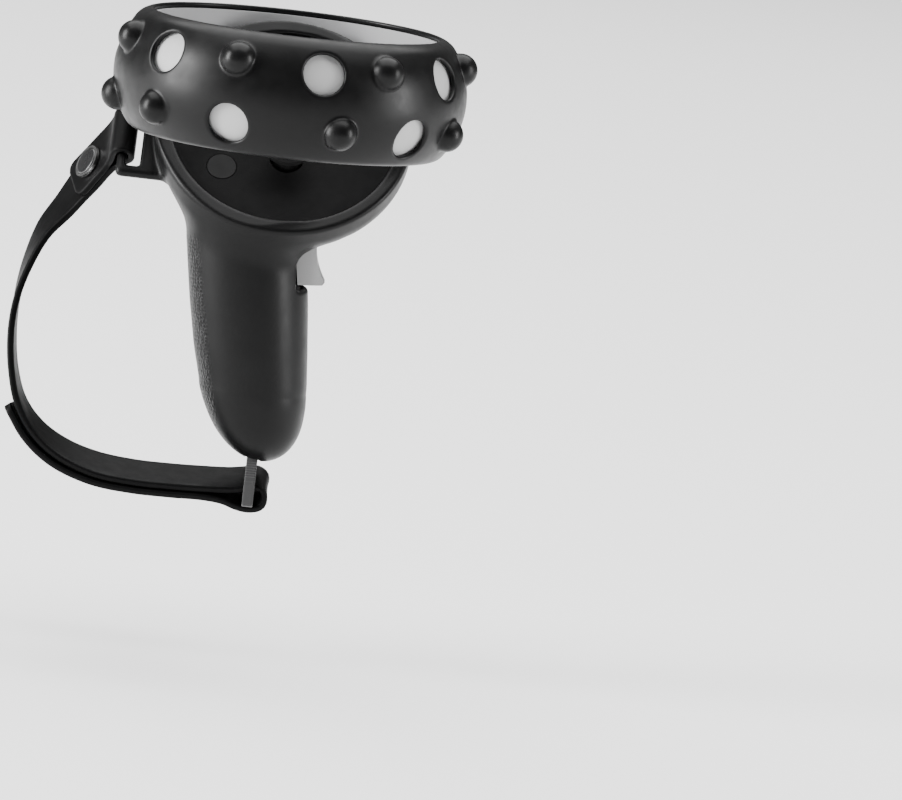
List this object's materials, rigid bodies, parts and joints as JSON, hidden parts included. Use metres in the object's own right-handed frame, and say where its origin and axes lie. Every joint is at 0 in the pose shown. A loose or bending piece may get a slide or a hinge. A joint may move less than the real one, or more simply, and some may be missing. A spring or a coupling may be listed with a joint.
{
  "type": "vr motion controller",
  "caption": "Handheld tracked controller: tilted round face under a tracking ring, upright handle, two triggers, silicone grip and studded ring covers, knuckle strap.",
  "frame": {"origin": "middle of the handle, where the palm holds it", "axes": "+Z along the tracking ring's axis, from the handle's end to the ring; -Y towards the user; +X towards the grip trigger; the strap is at -X"},
  "size_m": [0.1269, 0.1049, 0.1448],
  "materials": {
    "light_grey_shell": "fine moulded texture",
    "white_inner_shell": "fine moulded texture",
    "black_silicone_grip": "satin silicone with a stippled grip area",
    "black_silicone_ring": "satin silicone",
    "strap_elastomer": "smooth low sheen",
    "lanyard_webbing": "fine woven band",
    "face_black": "fine spark texture",
    "button_black": "fine texture",
    "stick_rubber": "matt rubber",
    "inner_black": "moulded",
    "trigger_grey": "satin moulded",
    "trigger_black": "satin moulded",
    "circuit_green": "solder mask",
    "flex_amber": "polyimide film",
    "led_dark": "dark lens",
    "steel": "plain",
    "snap_steel": "polished rim",
    "snap_black": "painted cap",
    "cell_jacket": "plain sleeve, no print",
    "contact_nickel": "nickel plate",
    "motor_can": "pressed can"
  },
  "bodies": {
    "controller": {"ring_outer_shell": "light_grey_shell", "ring_inner_shell": "white_inner_shell", "ring_led_strip": "flex_amber", "ring_leds": "led_dark", "ring_cover": "black_silicone_ring", "grip_cover": "black_silicone_grip", "head_shell": "inner_black", "handle_shell_left": "inner_black", "handle_shell_right": "inner_black", "battery_door": "inner_black", "handle_screws": "steel", "battery_cell": "cell_jacket", "battery_tray": "inner_black", "battery_contact_top": "contact_nickel", "battery_contact_bottom": "contact_nickel", "battery_spring": "contact_nickel", "handle_board": "circuit_green", "haptic_motor": "motor_can", "face_plate": "face_black", "button_switches": "inner_black", "stick_module": "motor_can", "main_board": "circuit_green", "inner_frame": "inner_black", "board_screws": "steel", "index_pin": "steel", "index_spring": "steel", "trigger_bracket": "inner_black", "bracket_screws": "steel", "grip_pin": "steel", "grip_bracket": "inner_black", "grip_spring": "steel", "knuckle_strap": "strap_elastomer", "strap_snap_cap": "snap_black", "strap_snap_ring": "snap_steel", "lanyard_band": "lanyard_webbing"},
    "x_button": {"x_button": "button_black"},
    "y_button": {"y_button": "button_black"},
    "menu_button": {"menu_button": "button_black"},
    "stick_press": {"stick_carrier": "inner_black"},
    "stick_tilt_fore_aft": {"stick_yoke": "inner_black"},
    "thumbstick": {"thumbstick_shaft": "stick_rubber", "thumbstick_cap": "stick_rubber"},
    "index_trigger": {"index_trigger": "trigger_black"},
    "grip_trigger": {"grip_trigger": "trigger_grey"}
  },
  "joints": [
    {"name": "x_button_press", "type": "slide", "parent": "controller", "child": "x_button", "axis": [0, 0.7547, -0.6561], "range_m": [0, 0.0009], "stiffness_N_per_m": 300},
    {"name": "y_button_press", "type": "slide", "parent": "controller", "child": "y_button", "axis": [0, 0.7547, -0.6561], "range_m": [0, 0.0009], "stiffness_N_per_m": 300},
    {"name": "menu_button_press", "type": "slide", "parent": "controller", "child": "menu_button", "axis": [0, 0.7547, -0.6561], "range_m": [0, 0.0007], "stiffness_N_per_m": 300},
    {"name": "thumbstick_press", "type": "slide", "parent": "controller", "child": "stick_press", "axis": [0, 0.7547, -0.6561], "range_m": [0, 0.0003], "stiffness_N_per_m": 1500},
    {"name": "thumbstick_tilt_up_down", "type": "hinge", "parent": "stick_press", "child": "stick_tilt_fore_aft", "pos_m": [0.0044, -0.00035, 0.05283], "axis": [1, 0, 0], "range_deg": [-18, 18], "stiffness_Nm_per_rad": 0.02},
    {"name": "thumbstick_tilt_left_right", "type": "hinge", "parent": "stick_tilt_fore_aft", "child": "thumbstick", "pos_m": [0.0044, -0.00035, 0.05283], "axis": [0, 0.6561, 0.7547], "range_deg": [-18, 18], "stiffness_Nm_per_rad": 0.02},
    {"name": "index_trigger_pull", "type": "hinge", "parent": "controller", "child": "index_trigger", "pos_m": [0.003, 0.024, 0.059], "axis": [-1, 0, 0], "range_deg": [0, 15], "stiffness_Nm_per_rad": 0.05},
    {"name": "grip_trigger_squeeze", "type": "hinge", "parent": "controller", "child": "grip_trigger", "pos_m": [0.008, -0.0005, 0.0328], "axis": [0, 1, 0], "range_deg": [0, 7], "stiffness_Nm_per_rad": 0.08}
  ]
}
